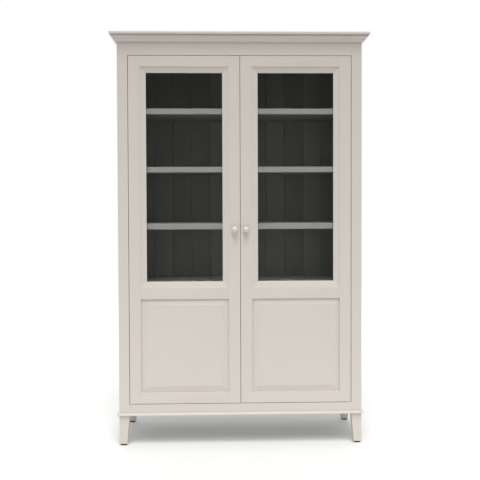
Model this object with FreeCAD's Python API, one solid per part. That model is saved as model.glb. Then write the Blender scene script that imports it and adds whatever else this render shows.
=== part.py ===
import FreeCAD, Part
import math
import os
from FreeCAD import Vector

# A tall painted bookcase with a pair of inset doors.  Each door is glazed above and has a raised
# panel below, and turns on pivot hinges hidden in its top and bottom edges.
#
# Frame: millimetres, +Z up, +X to the right of someone facing the doors, doors on the -Y side.
# The origin is on the floor, under the middle of the box that holds the closed bookcase.

# ---------------------------------------------------------------- carcass sizes
BODY_WIDTH = 1300.0          # over the outer faces of the corner posts
BODY_DEPTH = 450.0           # from the front faces of the posts to the back
BODY_TOP = 2184.0            # top ends of the posts, under the cap
CAP_THICK = 16.0
CAP_OVERHANG = 37.0          # past the body, at the front and at both sides

POST_WIDTH = 55.0            # the corner posts are square
FOOT_WIDTH = 41.0            # the same posts at the floor, tapered on their inner faces
LEG_HEIGHT = 162.0           # floor to the underside of the carcass
GLIDE_THICK = 9.0
GLIDE_RADIUS = 16.0
GLIDE_PIN_RADIUS = 2.5
GLIDE_PIN_LENGTH = 20.0

FACE_THICK = 22.0            # rails of the face frame
BOTTOM_FACE_RAIL = 59.0      # height of the rail under the doors
TOP_FACE_RAIL = 105.0        # height of the rail over the doors
RAIL_TENON_LENGTH = 30.0
RAIL_TENON_THICK = 8.0
RAIL_TENON_SHOULDER = 10.0   # how far a tenon stops short of the rail's edges

SIDE_THICK = 18.0
SIDE_TONGUE_THICK = 8.0
SIDE_TONGUE_LENGTH = 8.0
HOUSING_DEPTH = 6.0          # how far fixed boards are let into the side panels

BOTTOM_THICK = 22.0
TOP_THICK = 22.0
SHELF_THICK = 30.0
CUPBOARD_HEIGHT = 637.0      # top of the bottom board to top of the fixed shelf
SHELF_LEVELS = {"shelf_upper": 943.0, "shelf_middle": 632.0, "shelf_lower": 327.0}  # over that shelf
SHELF_SETBACK = 32.0         # from the face of the doors to the shelves' front edges
SHELF_CLEARANCE = 1.0        # round a loose shelf
PIN_RADIUS = 2.5
PIN_DEPTH = 10.0
PIN_HOLE_PITCH = 32.0
SPARE_HOLES = 2              # spare pin holes above and below each shelf
PIN_FROM_POST = 30.0         # from a corner post to the line of pins
LUG_LENGTH = 9.0             # flat lug on which the shelf lies
LUG_WIDTH = 12.0
LUG_THICK = 3.0

BOARD_PITCH = 110.0          # tongue-and-groove boards of the back
BOARD_COUNT = 11
BOARD_THICK = 12.0
BOARD_TONGUE_LENGTH = 5.0
BOARD_TONGUE_THICK = 4.0
BOARD_V_FRONT = 3.0          # chamfers that meet as a V on the show side
BOARD_V_REAR = 1.0
BACK_REBATE = 8.0            # how far the back is let into the rear posts

# ---------------------------------------------------------------- mouldings
CROWN_HEIGHT = 39.0
CROWN_PROJECTION = 31.0
CROWN_TOE = 3.0              # small square at the crown's lower edge
CROWN_SWELL = 2.0            # how far the ogee leaves its straight chord
CAP_EDGE_RADIUS = 3.0
BASE_HEIGHT = 16.0
BASE_PROJECTION = 11.0
BASE_EDGE = 4.5              # height of the base moulding's square lower edge
BASE_QUIRK = 0.5             # step back from that edge to the foot of the hollow
BASE_HOLLOW = 3.2            # depth of the hollow, from its chord
BASE_TOP = 1.5               # thickness left at the top of the hollow

# ---------------------------------------------------------------- doors
DOOR_GAP = 2.5               # all round, and between the two doors
DOOR_THICK = 26.0
STILE_WIDTH = 61.0
TOP_RAIL_WIDTH = 57.0
BOTTOM_RAIL_WIDTH = 60.0
MIDDLE_RAIL_WIDTH = 61.0
MIDDLE_RAIL_DROP = 13.0      # its top edge, below the top of the fixed shelf
TENON_LENGTH = 40.0
TENON_THICK = 8.0
TENON_SHOULDER = 13.0
GROOVE_FRONT = 9.0           # front wall of the groove, behind the door's face
GROOVE_THICK = 6.0
GROOVE_DEPTH = 10.0
GROOVE_CLEARANCE = 1.0       # panel and glazing frame stop short of the groove's floor

GLAZING_WIDTH = 32.0         # bevelled frame round the glass
GLAZING_STEP = 3.5           # its outer edge, behind the door's face
GLAZING_EDGE = 11.0          # its inner edge, behind the door's face
GLAZING_LIP = 4.0            # what is left in front of the glass
GLASS_REBATE = 9.0
GLASS_THICK = 4.0
GLASS_CLEARANCE = 1.0
BEAD_WIDTH = 8.0

PANEL_BEVEL = 30.0           # sloping border of the raised panel
PANEL_FACE = 2.0             # its flat field, behind the door's face
PANEL_FIELD_STEP = 1.5
PANEL_FIT = 0.5              # round the bevel, inside the frame

KNOB_LEVEL = 930.0           # over the door's lower edge
KNOB_FROM_EDGE = 28.5        # to the door's meeting edge
KNOB_RADIUS = 18.0
KNOB_LENGTH = 30.0
KNOB_NECK_RADIUS = 8.0
KNOB_FOOT_RADIUS = 12.0
KNOB_FOOT_THICK = 3.0
KNOB_NECK_END = 8.5          # where the neck runs into the head
KNOB_HEAD_SWELL = 1.2        # how far the head's underside bulges
KNOB_DOME = 13.5             # from the widest ring to the tip
KNOB_TENON_RADIUS = 6.0
KNOB_TENON_LENGTH = 18.0

# ---------------------------------------------------------------- pivot hinges and catches
PIVOT_FROM_EDGE = 13.0       # hinge axis to the door's hinge edge
PIVOT_FROM_FACE = 7.5        # hinge axis to the door's face
PIVOT_PIN_RADIUS = 3.0
PIVOT_CLEARANCE = 0.08       # round the pin, in the washer and in the frame's plate
PIVOT_PLATE_LENGTH = 60.0
PIVOT_PLATE_WIDTH = 12.0
PIVOT_PLATE_THICK = 3.0
PIVOT_PLATE_INSET = 8.0      # plate's end to the pin's axis
PIVOT_PIN_BEYOND = 6.0       # past the frame's plate, into the rail
PIVOT_PIN_ROOM = 1.0         # round the pin's end, in the rail
PIVOT_WASHER_RADIUS = 6.0

CATCH_LENGTH = 40.0
CATCH_DEPTH = 20.0
CATCH_HEIGHT = 13.0
CATCH_GAP = 0.3              # from the closed door's strike plate to the catch
CATCH_FROM_CENTRE = 45.0
STRIKE_THICK = 1.5
STRIKE_LENGTH = 30.0
STRIKE_EDGE = 1.0            # the strike plate stops short of the catch's height

# ---------------------------------------------------------------- places worked out from the sizes
HALF = BODY_WIDTH / 2
TOP = BODY_TOP + CAP_THICK
TOTAL_DEPTH = BODY_DEPTH + CAP_OVERHANG
BACK = TOTAL_DEPTH / 2
FACE = BACK - BODY_DEPTH                 # front faces of posts, rails and doors
POST_INSIDE = HALF - POST_WIDTH          # x of a post's inner face
SIDE_INSIDE = HALF - SIDE_THICK
POST_BACK = FACE + POST_WIDTH            # rear faces of the front posts
REAR_POST_FRONT = BACK - POST_WIDTH
BOARD_FRONT = BACK - BOARD_THICK
DOOR_BACK = FACE + DOOR_THICK
DOOR_EDGE = POST_INSIDE - DOOR_GAP       # x of a door's hinge edge
MEETING_EDGE = DOOR_GAP / 2
SILL_TOP = LEG_HEIGHT + BOTTOM_FACE_RAIL
OPENING_TOP = BODY_TOP - TOP_FACE_RAIL
FIXED_SHELF_TOP = SILL_TOP + CUPBOARD_HEIGHT
LOOSE_SHELVES = {name: FIXED_SHELF_TOP + level for name, level in SHELF_LEVELS.items()}
DOOR_BOTTOM = SILL_TOP + DOOR_GAP
DOOR_TOP = OPENING_TOP - DOOR_GAP
PIVOT_X = DOOR_EDGE - PIVOT_FROM_EDGE
PIVOT_Y = FACE + PIVOT_FROM_FACE
TENON_INSET = (FACE_THICK - RAIL_TENON_THICK) / 2
SIDE_TONGUE_INSET = (SIDE_THICK - SIDE_TONGUE_THICK) / 2
CROWN_BOTTOM = BODY_TOP - CROWN_HEIGHT
PANEL_BOTTOM = DOOR_BOTTOM + BOTTOM_RAIL_WIDTH
LIGHT_BOTTOM = FIXED_SHELF_TOP - MIDDLE_RAIL_DROP
PANEL_TOP = LIGHT_BOTTOM - MIDDLE_RAIL_WIDTH
LIGHT_TOP = DOOR_TOP - TOP_RAIL_WIDTH
FIELD_LEFT = -DOOR_EDGE + STILE_WIDTH    # opening between the stiles of the left door
FIELD_RIGHT = -MEETING_EDGE - STILE_WIDTH
GLASS_FRONT = FACE + GLAZING_EDGE + GLAZING_LIP


# ---------------------------------------------------------------- helpers
def box(x0, x1, y0, y1, z0, z1):
    """A block between two corners."""
    return Part.makeBox(x1 - x0, y1 - y0, z1 - z0, Vector(x0, y0, z0))


def rod(radius, start, along, length):
    """A cylinder from a point along a direction."""
    return Part.makeCylinder(radius, length, start, along)


def prism(points, along):
    """A polygon pushed along a vector."""
    return Part.Face(Part.makePolygon(points + points[:1])).extrude(along)


def rectangle_z(x0, x1, y0, y1, z):
    """A level rectangle, as a wire."""
    corners = [Vector(x0, y0, z), Vector(x1, y0, z), Vector(x1, y1, z), Vector(x0, y1, z)]
    return Part.makePolygon(corners + corners[:1])


def rectangle_y(x0, x1, z0, z1, y):
    """An upright rectangle parallel to the doors, as a wire."""
    corners = [Vector(x0, y, z0), Vector(x1, y, z0), Vector(x1, y, z1), Vector(x0, y, z1)]
    return Part.makePolygon(corners + corners[:1])


def slope_between(first, second):
    """A solid with flat sides between two wires."""
    return Part.makeLoft([first, second], True, True)


def mirrored(shape):
    """The same piece on the other side of the bookcase."""
    return shape.mirror(Vector(0, 0, 0), Vector(1, 0, 0))


def turned(shape, side):
    """A piece made for the left, kept for side -1 and mirrored for side +1."""
    return shape if side < 0 else mirrored(shape)


def write(name, solids):
    """Save one sub-part, which is one solid or a group of separate like ones."""
    shape = solids[0] if len(solids) == 1 else Part.makeCompound(solids)
    shape.exportStep("parts/" + name + ".step")


SIDES = {"left": -1, "right": 1}


# ---------------------------------------------------------------- posts, sides and face frame
def rail_tenon(x, direction, bottom, top, thick, inset, length, shoulder):
    """The tenon at one end of a rail, at x, pointing along direction (+1 or -1)."""
    x0, x1 = sorted((x, x + direction * length))
    return box(x0, x1, FACE + inset, FACE + inset + thick, bottom + shoulder, top - shoulder)


def face_rail_tenon(bottom, top, direction):
    return rail_tenon(direction * POST_INSIDE, direction, bottom, top,
                      RAIL_TENON_THICK, TENON_INSET, RAIL_TENON_LENGTH, RAIL_TENON_SHOULDER)


def side_tongue(y0, y1):
    """A tongue of the left side panel, between two depths."""
    return box(-HALF + SIDE_TONGUE_INSET, -HALF + SIDE_TONGUE_INSET + SIDE_TONGUE_THICK,
               y0, y1, LEG_HEIGHT, BODY_TOP)


def glide_centre(front):
    """Middle of the left foot at the front or at the rear."""
    half_foot = FOOT_WIDTH / 2
    y = FACE + half_foot if front else BACK - half_foot
    return Vector(-HALF + half_foot, y, 0)


def corner_post(front):
    """The left post: square in the body, and tapered on its two inner faces to the foot."""
    x0, x1 = -HALF, -POST_INSIDE
    if front:
        y0, y1 = FACE, POST_BACK
        foot_y0, foot_y1 = FACE, FACE + FOOT_WIDTH
    else:
        y0, y1 = REAR_POST_FRONT, BACK
        foot_y0, foot_y1 = BACK - FOOT_WIDTH, BACK
    shaft = box(x0, x1, y0, y1, LEG_HEIGHT, BODY_TOP)
    foot = slope_between(rectangle_z(x0, x0 + FOOT_WIDTH, foot_y0, foot_y1, GLIDE_THICK),
                         rectangle_z(x0, x1, y0, y1, LEG_HEIGHT))
    post = shaft.fuse(foot).removeSplitter()
    if front:
        post = post.cut(face_rail_tenon(LEG_HEIGHT, SILL_TOP, -1))
        post = post.cut(face_rail_tenon(OPENING_TOP, BODY_TOP, -1))
        post = post.cut(side_tongue(POST_BACK - SIDE_TONGUE_LENGTH, POST_BACK))
    else:
        post = post.cut(side_tongue(REAR_POST_FRONT, REAR_POST_FRONT + SIDE_TONGUE_LENGTH))
        rebate_x = -POST_INSIDE - BACK_REBATE
        post = post.cut(box(rebate_x, x1, BOARD_FRONT, BACK, LEG_HEIGHT, BODY_TOP))
    pin = rod(GLIDE_PIN_RADIUS, glide_centre(front), Vector(0, 0, 1), GLIDE_THICK + GLIDE_PIN_LENGTH)
    return post.cut(pin)


def glide(front):
    """A hard disc under the left foot, with the pin that is driven into it."""
    centre = glide_centre(front)
    disc = rod(GLIDE_RADIUS, centre, Vector(0, 0, 1), GLIDE_THICK)
    pin = rod(GLIDE_PIN_RADIUS, centre, Vector(0, 0, 1), GLIDE_THICK + GLIDE_PIN_LENGTH)
    return disc.fuse(pin).removeSplitter()


def fixed_boards():
    """Bottom and top z of each board that is housed in the side panels."""
    return {"bottom_board": (SILL_TOP - BOTTOM_THICK, SILL_TOP),
            "fixed_shelf": (FIXED_SHELF_TOP - SHELF_THICK, FIXED_SHELF_TOP),
            "top_board": (OPENING_TOP, OPENING_TOP + TOP_THICK)}


def pin_depths():
    """The two depths at which shelf pins stand."""
    return (POST_BACK + PIN_FROM_POST, REAR_POST_FRONT - PIN_FROM_POST)


def pin_height(shelf_top):
    """Centre of the pins under a loose shelf: the lug is the top of the pin."""
    return shelf_top - SHELF_THICK - PIN_RADIUS


def side_panel():
    """The left side, flush with the posts, tongued into them, with housings and pin holes."""
    panel = box(-HALF, -SIDE_INSIDE, POST_BACK, REAR_POST_FRONT, LEG_HEIGHT, BODY_TOP)
    tongues = [side_tongue(POST_BACK - SIDE_TONGUE_LENGTH, POST_BACK),
               side_tongue(REAR_POST_FRONT, REAR_POST_FRONT + SIDE_TONGUE_LENGTH)]
    panel = panel.fuse(tongues).removeSplitter()
    cuts = [box(-SIDE_INSIDE - HOUSING_DEPTH, -SIDE_INSIDE, POST_BACK, REAR_POST_FRONT, z0, z1)
            for z0, z1 in fixed_boards().values()]
    for shelf_top in LOOSE_SHELVES.values():
        for step in range(-SPARE_HOLES, SPARE_HOLES + 1):
            for y in pin_depths():
                mouth = Vector(-SIDE_INSIDE, y, pin_height(shelf_top) + step * PIN_HOLE_PITCH)
                cuts.append(rod(PIN_RADIUS, mouth, Vector(-1, 0, 0), PIN_DEPTH))
    return panel.cut(cuts)


def face_rail(bottom, top):
    """A rail between the front posts, with a tenon at each end."""
    rail = box(-POST_INSIDE, POST_INSIDE, FACE, FACE + FACE_THICK, bottom, top)
    return rail.fuse([face_rail_tenon(bottom, top, -1), face_rail_tenon(bottom, top, 1)]).removeSplitter()


# ---------------------------------------------------------------- boards, shelves and back
def between_posts(half_width, front, z0, z1, clearance):
    """A board from front to the back boards, notched round the four posts."""
    back = BOARD_FRONT - clearance
    board = box(-half_width, half_width, front, back, z0, z1)
    notches = []
    for side in SIDES.values():
        x0, x1 = sorted((side * (POST_INSIDE - clearance), side * HALF))
        notches.append(box(x0, x1, FACE, POST_BACK + clearance, z0, z1))
        notches.append(box(x0, x1, REAR_POST_FRONT - clearance, BACK, z0, z1))
    return board.cut(notches)


def fixed_board(name):
    z0, z1 = fixed_boards()[name]
    front = FACE + SHELF_SETBACK if name == "fixed_shelf" else FACE + FACE_THICK
    return between_posts(SIDE_INSIDE + HOUSING_DEPTH, front, z0, z1, 0)


def loose_shelf(shelf_top):
    return between_posts(SIDE_INSIDE - SHELF_CLEARANCE, FACE + SHELF_SETBACK,
                         shelf_top - SHELF_THICK, shelf_top, SHELF_CLEARANCE)


def shelf_pin(y, shelf_top):
    """A peg in the left side panel, with a flat lug under the shelf."""
    z = pin_height(shelf_top)
    peg = rod(PIN_RADIUS, Vector(-SIDE_INSIDE, y, z), Vector(-1, 0, 0), PIN_DEPTH)
    lug_top = shelf_top - SHELF_THICK
    lug = box(-SIDE_INSIDE, -SIDE_INSIDE + LUG_LENGTH, y - LUG_WIDTH / 2, y + LUG_WIDTH / 2,
              lug_top - LUG_THICK, lug_top)
    nose = rod(PIN_RADIUS, Vector(-SIDE_INSIDE, y, z), Vector(1, 0, 0), LUG_LENGTH)
    return peg.fuse([lug, nose]).removeSplitter()


def back_board(number):
    """One board of the back, counted from the left, with a tongue on its right edge."""
    middle = (BOARD_COUNT + 1) / 2
    x0 = (number - middle - 0.5) * BOARD_PITCH
    x1 = x0 + BOARD_PITCH
    first = number == 1
    last = number == BOARD_COUNT
    if first:
        x0 = -POST_INSIDE - BACK_REBATE
    if last:
        x1 = POST_INSIDE + BACK_REBATE
    outline = [Vector(x0, BOARD_FRONT, LEG_HEIGHT), Vector(x1, BOARD_FRONT, LEG_HEIGHT),
               Vector(x1, BACK, LEG_HEIGHT), Vector(x0, BACK, LEG_HEIGHT)]
    if not first:
        outline[0:1] = [Vector(x0, BOARD_FRONT + BOARD_V_FRONT, LEG_HEIGHT),
                        Vector(x0 + BOARD_V_FRONT, BOARD_FRONT, LEG_HEIGHT)]
        outline[-1:] = [Vector(x0 + BOARD_V_REAR, BACK, LEG_HEIGHT),
                        Vector(x0, BACK - BOARD_V_REAR, LEG_HEIGHT)]
    if not last:
        right = [point for point in outline if point.x == x1]
        at = outline.index(right[0])
        outline[at:at + 2] = [Vector(x1 - BOARD_V_FRONT, BOARD_FRONT, LEG_HEIGHT),
                              Vector(x1, BOARD_FRONT + BOARD_V_FRONT, LEG_HEIGHT),
                              Vector(x1, BACK - BOARD_V_REAR, LEG_HEIGHT),
                              Vector(x1 - BOARD_V_REAR, BACK, LEG_HEIGHT)]
    board = prism(outline, Vector(0, 0, BODY_TOP - LEG_HEIGHT))
    tongue_y = BOARD_FRONT + (BOARD_THICK - BOARD_TONGUE_THICK) / 2
    if not last:
        board = board.fuse(box(x1, x1 + BOARD_TONGUE_LENGTH, tongue_y, tongue_y + BOARD_TONGUE_THICK,
                               LEG_HEIGHT, BODY_TOP)).removeSplitter()
    if not first:
        board = board.cut(box(x0, x0 + BOARD_TONGUE_LENGTH, tongue_y, tongue_y + BOARD_TONGUE_THICK,
                              LEG_HEIGHT, BODY_TOP))
    return board


# ---------------------------------------------------------------- cap and mouldings
def top_cap():
    """The flat top, with its front and side edges eased."""
    cap = box(-HALF - CAP_OVERHANG, HALF + CAP_OVERHANG, FACE - CAP_OVERHANG, BACK, BODY_TOP, TOP)
    shown = []
    for edge in cap.Edges:
        middle = edge.BoundBox.Center
        level = edge.BoundBox.ZLength < CAP_EDGE_RADIUS
        if level and middle.y < BACK - CAP_EDGE_RADIUS:
            shown.append(edge)
    return cap.makeFillet(CAP_EDGE_RADIUS, shown)


def crown_profile():
    """Points and arcs of the crown, as (projection, height) over the body and the crown's foot."""
    toe = (CROWN_TOE, CROWN_TOE)
    lip = (CROWN_PROJECTION, CROWN_HEIGHT)
    run = lip[0] - toe[0]
    rise = lip[1] - toe[1]
    chord = math.hypot(run, rise)

    def along(share, swell):
        return (toe[0] + share * run + swell * rise / chord,
                toe[1] + share * rise - swell * run / chord)

    return [((0, 0), (CROWN_TOE, 0)), ((CROWN_TOE, 0), toe),
            (toe, along(0.25, CROWN_SWELL), along(0.5, 0)),
            (along(0.5, 0), along(0.75, -CROWN_SWELL), lip),
            (lip, (0, CROWN_HEIGHT)), ((0, CROWN_HEIGHT), (0, 0))]


def base_profile():
    """Points and arc of the base moulding, in the same way: a square edge under a hollow."""
    under = (BASE_PROJECTION, 0)
    edge = (BASE_PROJECTION, BASE_EDGE)
    foot = (BASE_PROJECTION - BASE_QUIRK, BASE_EDGE)
    top = (BASE_TOP, BASE_HEIGHT)
    run = foot[0] - top[0]
    rise = top[1] - foot[1]
    chord = math.hypot(run, rise)
    hollow = ((foot[0] + top[0]) / 2 - BASE_HOLLOW * rise / chord,
              (foot[1] + top[1]) / 2 - BASE_HOLLOW * run / chord)
    return [((0, 0), under), (under, edge), (edge, foot), (foot, hollow, top),
            (top, (0, BASE_HEIGHT)), ((0, BASE_HEIGHT), (0, 0))]


def moulding(profile, foot, projection, height, place):
    """One length of a moulding round the body: front, left or right, with mitred corners."""
    def at(point):
        if place == "front":
            return Vector(-HALF - projection, FACE - point[0], foot + point[1])
        return Vector(-HALF - point[0], FACE - projection, foot + point[1])

    edges = []
    for piece in profile:
        ends = [at(point) for point in piece]
        edges.append(Part.Arc(*ends).toShape() if len(ends) == 3 else Part.makeLine(*ends))
    section = Part.Face(Part.Wire(edges))
    outer = HALF + projection
    front = FACE - projection
    if place == "front":
        length = section.extrude(Vector(2 * outer, 0, 0))
        plan = [(-HALF, FACE), (-outer, front), (outer, front), (HALF, FACE)]
    else:
        length = section.extrude(Vector(0, BACK - front, 0))
        plan = [(-HALF, FACE), (-outer, front), (-outer, BACK), (-HALF, BACK)]
    mitres = prism([Vector(x, y, foot) for x, y in plan], Vector(0, 0, height))
    run = length.common(mitres).Solids[0]
    return mirrored(run) if place == "right" else run


def crown(place):
    return moulding(crown_profile(), CROWN_BOTTOM, CROWN_PROJECTION, CROWN_HEIGHT, place)


def base_moulding(place):
    return moulding(base_profile(), LEG_HEIGHT, BASE_PROJECTION, BASE_HEIGHT, place)


# ---------------------------------------------------------------- door, made for the left side
def door_rails():
    """Bottom and top z of each rail."""
    return {"bottom_rail": (DOOR_BOTTOM, PANEL_BOTTOM),
            "middle_rail": (PANEL_TOP, LIGHT_BOTTOM),
            "top_rail": (LIGHT_TOP, DOOR_TOP)}


def door_tenon(name, direction):
    """The tenon of a rail, at the hinge side (-1) or at the meeting side (+1)."""
    z0, z1 = door_rails()[name]
    x = FIELD_LEFT if direction < 0 else FIELD_RIGHT
    return rail_tenon(x, direction, z0, z1, TENON_THICK, GROOVE_FRONT, TENON_LENGTH, TENON_SHOULDER)


def grooves():
    """What the panel and the glazing frame take out of the stiles and rails."""
    return [box(FIELD_LEFT - GROOVE_DEPTH, FIELD_RIGHT + GROOVE_DEPTH,
                FACE + GROOVE_FRONT, FACE + GROOVE_FRONT + GROOVE_THICK,
                z0 - GROOVE_DEPTH, z1 + GROOVE_DEPTH)
            for z0, z1 in ((PANEL_BOTTOM, PANEL_TOP), (LIGHT_BOTTOM, LIGHT_TOP))]


def plate_mortise(z0, z1):
    """Room for a pivot plate along the hinge edge of the left door, or in the rail next to it."""
    x0 = -PIVOT_X - PIVOT_PLATE_INSET
    half_width = PIVOT_PLATE_WIDTH / 2
    return box(x0, x0 + PIVOT_PLATE_LENGTH, PIVOT_Y - half_width, PIVOT_Y + half_width, z0, z1)


def door_plates():
    """The plates let into the door's lower and upper edge."""
    return [plate_mortise(DOOR_BOTTOM, DOOR_BOTTOM + PIVOT_PLATE_THICK),
            plate_mortise(DOOR_TOP - PIVOT_PLATE_THICK, DOOR_TOP)]


def knob_axis():
    return Vector(-MEETING_EDGE - KNOB_FROM_EDGE, FACE, DOOR_BOTTOM + KNOB_LEVEL)


def stile(name):
    """An upright of the door, with mortises, grooves and room for its fittings."""
    if name == "hinge_stile":
        piece = box(-DOOR_EDGE, FIELD_LEFT, FACE, DOOR_BACK, DOOR_BOTTOM, DOOR_TOP)
        cuts = [door_tenon(rail, -1) for rail in door_rails()] + door_plates()
    else:
        piece = box(FIELD_RIGHT, -MEETING_EDGE, FACE, DOOR_BACK, DOOR_BOTTOM, DOOR_TOP)
        cuts = [door_tenon(rail, 1) for rail in door_rails()]
        cuts.append(rod(KNOB_TENON_RADIUS, knob_axis(), Vector(0, 1, 0), KNOB_TENON_LENGTH))
    return piece.cut(cuts + grooves())


def door_rail(name):
    z0, z1 = door_rails()[name]
    rail = box(FIELD_LEFT, FIELD_RIGHT, FACE, DOOR_BACK, z0, z1)
    rail = rail.fuse([door_tenon(name, -1), door_tenon(name, 1)]).removeSplitter()
    return rail.cut(grooves() + door_plates())


def glazing_frame():
    """Four mitred lengths: a tongue in the groove, a bevel towards the glass and a rebate behind."""
    reach = GROOVE_DEPTH - GROOVE_CLEARANCE
    left, right, low, high = FIELD_LEFT, FIELD_RIGHT, LIGHT_BOTTOM, LIGHT_TOP
    sight = [left + GLAZING_WIDTH, right - GLAZING_WIDTH, low + GLAZING_WIDTH, high - GLAZING_WIDTH]
    face = FACE + GLAZING_STEP
    edge = FACE + GLAZING_EDGE
    ring = box(left, right, face, DOOR_BACK, low, high)
    tongue = box(left - reach, right + reach, FACE + GROOVE_FRONT,
                 FACE + GROOVE_FRONT + GROOVE_THICK, low - reach, high + reach)
    ring = ring.fuse(tongue)
    bevel = slope_between(rectangle_y(left, right, low, high, face), rectangle_y(*sight, edge))
    hole = box(sight[0], sight[1], edge, GLASS_FRONT, sight[2], sight[3])
    rebate = box(sight[0] - GLASS_REBATE, sight[1] + GLASS_REBATE, GLASS_FRONT, DOOR_BACK,
                 sight[2] - GLASS_REBATE, sight[3] + GLASS_REBATE)
    ring = ring.cut([bevel, hole, rebate])
    return mitred(ring, left, right, low, high, reach)


def mitred(ring, left, right, low, high, reach):
    """Split an upright rectangular ring into four lengths, along 45 degrees at its corners."""
    half = (right - left) / 2
    middle = left + half
    ys = Vector(0, DOOR_THICK, 0)
    outer = [Vector(left - reach, FACE, low - reach), Vector(right + reach, FACE, low - reach),
             Vector(right + reach, FACE, high + reach), Vector(left - reach, FACE, high + reach)]
    lower = Vector(middle, FACE, low + half)
    upper = Vector(middle, FACE, high - half)
    wedges = [[outer[0], outer[1], lower], [outer[1], outer[2], upper, lower],
              [outer[2], outer[3], upper], [outer[3], outer[0], lower, upper]]
    return [ring.common(prism(wedge, ys)).Solids[0] for wedge in wedges]


def rebate_box():
    """Inner walls of the glazing frame's rebate, as left, right, low, high."""
    inset = GLAZING_WIDTH - GLASS_REBATE
    return FIELD_LEFT + inset, FIELD_RIGHT - inset, LIGHT_BOTTOM + inset, LIGHT_TOP - inset


def glass_pane():
    """The pane stands on the rebate and has clearance at its sides and top."""
    left, right, low, high = rebate_box()
    return box(left + GLASS_CLEARANCE, right - GLASS_CLEARANCE, GLASS_FRONT, GLASS_FRONT + GLASS_THICK,
               low, high - GLASS_CLEARANCE)


def glazing_beads():
    """Four square-ended strips that hold the pane from behind."""
    left, right, low, high = rebate_box()
    y0, y1 = GLASS_FRONT + GLASS_THICK, DOOR_BACK
    return [box(left, left + BEAD_WIDTH, y0, y1, low, high),
            box(right - BEAD_WIDTH, right, y0, y1, low, high),
            box(left + BEAD_WIDTH, right - BEAD_WIDTH, y0, y1, low, low + BEAD_WIDTH),
            box(left + BEAD_WIDTH, right - BEAD_WIDTH, y0, y1, high - BEAD_WIDTH, high)]


def raised_panel():
    """A tongue in the groove, a sloping border and a flat field."""
    reach = GROOVE_DEPTH - GROOVE_CLEARANCE
    left, right, low, high = FIELD_LEFT, FIELD_RIGHT, PANEL_BOTTOM, PANEL_TOP
    seat = FACE + GROOVE_FRONT
    tongue = box(left - reach, right + reach, seat, seat + GROOVE_THICK, low - reach, high + reach)
    step = FACE + PANEL_FACE + PANEL_FIELD_STEP
    border = slope_between(rectangle_y(left + PANEL_FIT, right - PANEL_FIT,
                                       low + PANEL_FIT, high - PANEL_FIT, seat),
                           rectangle_y(left + PANEL_BEVEL, right - PANEL_BEVEL,
                                       low + PANEL_BEVEL, high - PANEL_BEVEL, step))
    field = box(left + PANEL_BEVEL, right - PANEL_BEVEL, FACE + PANEL_FACE, step,
                low + PANEL_BEVEL, high - PANEL_BEVEL)
    return tongue.fuse([border, field]).removeSplitter()


def knob():
    """A turned knob with a foot, a neck and a domed head, and a tenon glued into the stile."""
    axis = knob_axis()

    def at(radius, out):
        return Vector(axis.x + radius, axis.y - out, axis.z)

    ring = KNOB_LENGTH - KNOB_DOME
    dome_radius = (KNOB_RADIUS ** 2 + KNOB_DOME ** 2) / (2 * KNOB_DOME)
    dome_centre = KNOB_LENGTH - dome_radius
    half_turn = math.atan2(KNOB_RADIUS, ring - dome_centre) / 2
    neck_middle = (KNOB_FOOT_THICK + KNOB_NECK_END) / 2
    underside = ((KNOB_FOOT_RADIUS + KNOB_RADIUS) / 2 + KNOB_HEAD_SWELL,
                 (KNOB_NECK_END + ring) / 2 - KNOB_HEAD_SWELL)
    outline = [(0, -KNOB_TENON_LENGTH), (KNOB_TENON_RADIUS, -KNOB_TENON_LENGTH), (KNOB_TENON_RADIUS, 0),
               (KNOB_FOOT_RADIUS, 0), (KNOB_FOOT_RADIUS, KNOB_FOOT_THICK)]
    edges = [Part.makeLine(at(*start), at(*end)) for start, end in zip(outline, outline[1:])]
    arcs = [((KNOB_FOOT_RADIUS, KNOB_FOOT_THICK), (KNOB_NECK_RADIUS, neck_middle),
             (KNOB_FOOT_RADIUS, KNOB_NECK_END)),
            ((KNOB_FOOT_RADIUS, KNOB_NECK_END), underside, (KNOB_RADIUS, ring)),
            ((KNOB_RADIUS, ring),
             (dome_radius * math.sin(half_turn), dome_centre + dome_radius * math.cos(half_turn)),
             (0, KNOB_LENGTH))]
    edges += [Part.Arc(*[at(*point) for point in arc]).toShape() for arc in arcs]
    edges.append(Part.makeLine(at(0, KNOB_LENGTH), at(0, -KNOB_TENON_LENGTH)))
    return Part.Face(Part.Wire(edges)).revolve(axis, Vector(0, 1, 0), 360)


# ---------------------------------------------------------------- pivots and catches
def pivot_ends():
    """For the lower and the upper pivot: the door's edge and the direction away from it."""
    return [(DOOR_BOTTOM, -1), (DOOR_TOP, 1)]


def upright_slab(edge, direction, near, far):
    """The two z values between two distances from an edge, in rising order."""
    return sorted((edge + direction * near, edge + direction * far))


def door_pivots():
    """For each end of the door: the plate with its pin, and a washer in the gap."""
    solids = []
    reach = DOOR_GAP + PIVOT_PLATE_THICK + PIVOT_PIN_BEYOND
    for (edge, direction), plate in zip(pivot_ends(), door_plates()):
        foot = Vector(-PIVOT_X, PIVOT_Y, edge)
        up = Vector(0, 0, direction)
        pin = rod(PIVOT_PIN_RADIUS, foot, up, reach)
        solids.append(plate.fuse(pin).removeSplitter())
        washer = rod(PIVOT_WASHER_RADIUS, foot, up, DOOR_GAP)
        solids.append(washer.cut(rod(PIVOT_PIN_RADIUS + PIVOT_CLEARANCE, foot, up, DOOR_GAP)))
    return solids


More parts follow.
